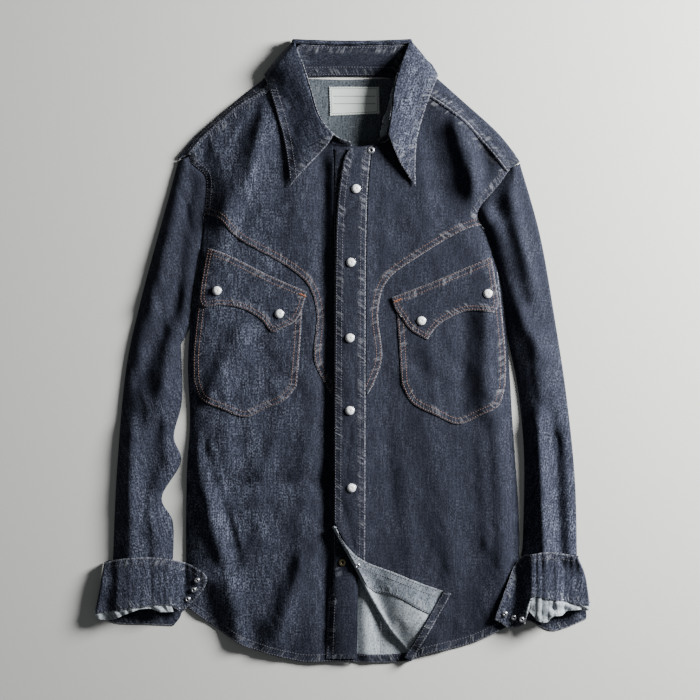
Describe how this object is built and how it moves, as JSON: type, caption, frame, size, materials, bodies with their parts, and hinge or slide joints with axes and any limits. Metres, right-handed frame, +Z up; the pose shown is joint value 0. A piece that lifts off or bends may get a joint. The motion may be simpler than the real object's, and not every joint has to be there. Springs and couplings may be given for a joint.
{
  "type": "denim western shirt laid flat",
  "caption": "Long-sleeved denim western shirt laid flat, with pointed yokes, flapped chest pockets, pearl snaps, turned-up cuffs and one front corner folded back.",
  "frame": {"origin": "on the surface that the shirt lies on, under the middle of its outline", "axes": "+Z up from the surface, +Y from the hem to the collar, +X to the wearer's left side"},
  "size_m": [0.6337, 0.7948, 0.0304],
  "materials": {
    "denim": "dark indigo twill, right side out",
    "label_tape": "woven tape, blank but for a border",
    "pearl": "polished pearl snap caps",
    "nickel": "nickel-plated snap rings",
    "brass": "aged brass snap stud",
    "wrong_side": "pale inside of the same twill"
  },
  "bodies": {
    "root": {"back_panel": "denim", "back_yoke": "denim", "front_right": "denim", "front_left": "denim", "placket_right": "denim", "placket_left": "denim", "front_yoke_right": "denim", "front_yoke_left": "denim", "pocket_right": "denim", "pocket_left": "denim", "pocket_flap_right": "denim", "pocket_flap_left": "denim", "sleeve_right": "denim", "sleeve_left": "denim", "cuff_right": "denim", "cuff_left": "denim", "collar_leaf": "denim", "collar_stand": "denim", "neck_label": "label_tape", "flap_snap_right_1": "pearl", "flap_snap_right_2": "pearl", "flap_snap_left_1": "pearl", "flap_snap_left_2": "pearl", "placket_snap_1": "pearl", "placket_snap_2": "pearl", "placket_snap_3": "pearl", "placket_snap_4": "pearl", "placket_snap_5": "pearl", "neck_snap": "nickel", "corner_socket": "nickel", "cuff_snap_right_1": "nickel", "cuff_snap_right_2": "nickel", "cuff_snap_right_3": "nickel", "cuff_snap_left_1": "nickel", "cuff_snap_left_2": "nickel", "cuff_snap_left_3": "nickel", "under_placket_stud": "brass"}
  },
  "joints": []
}
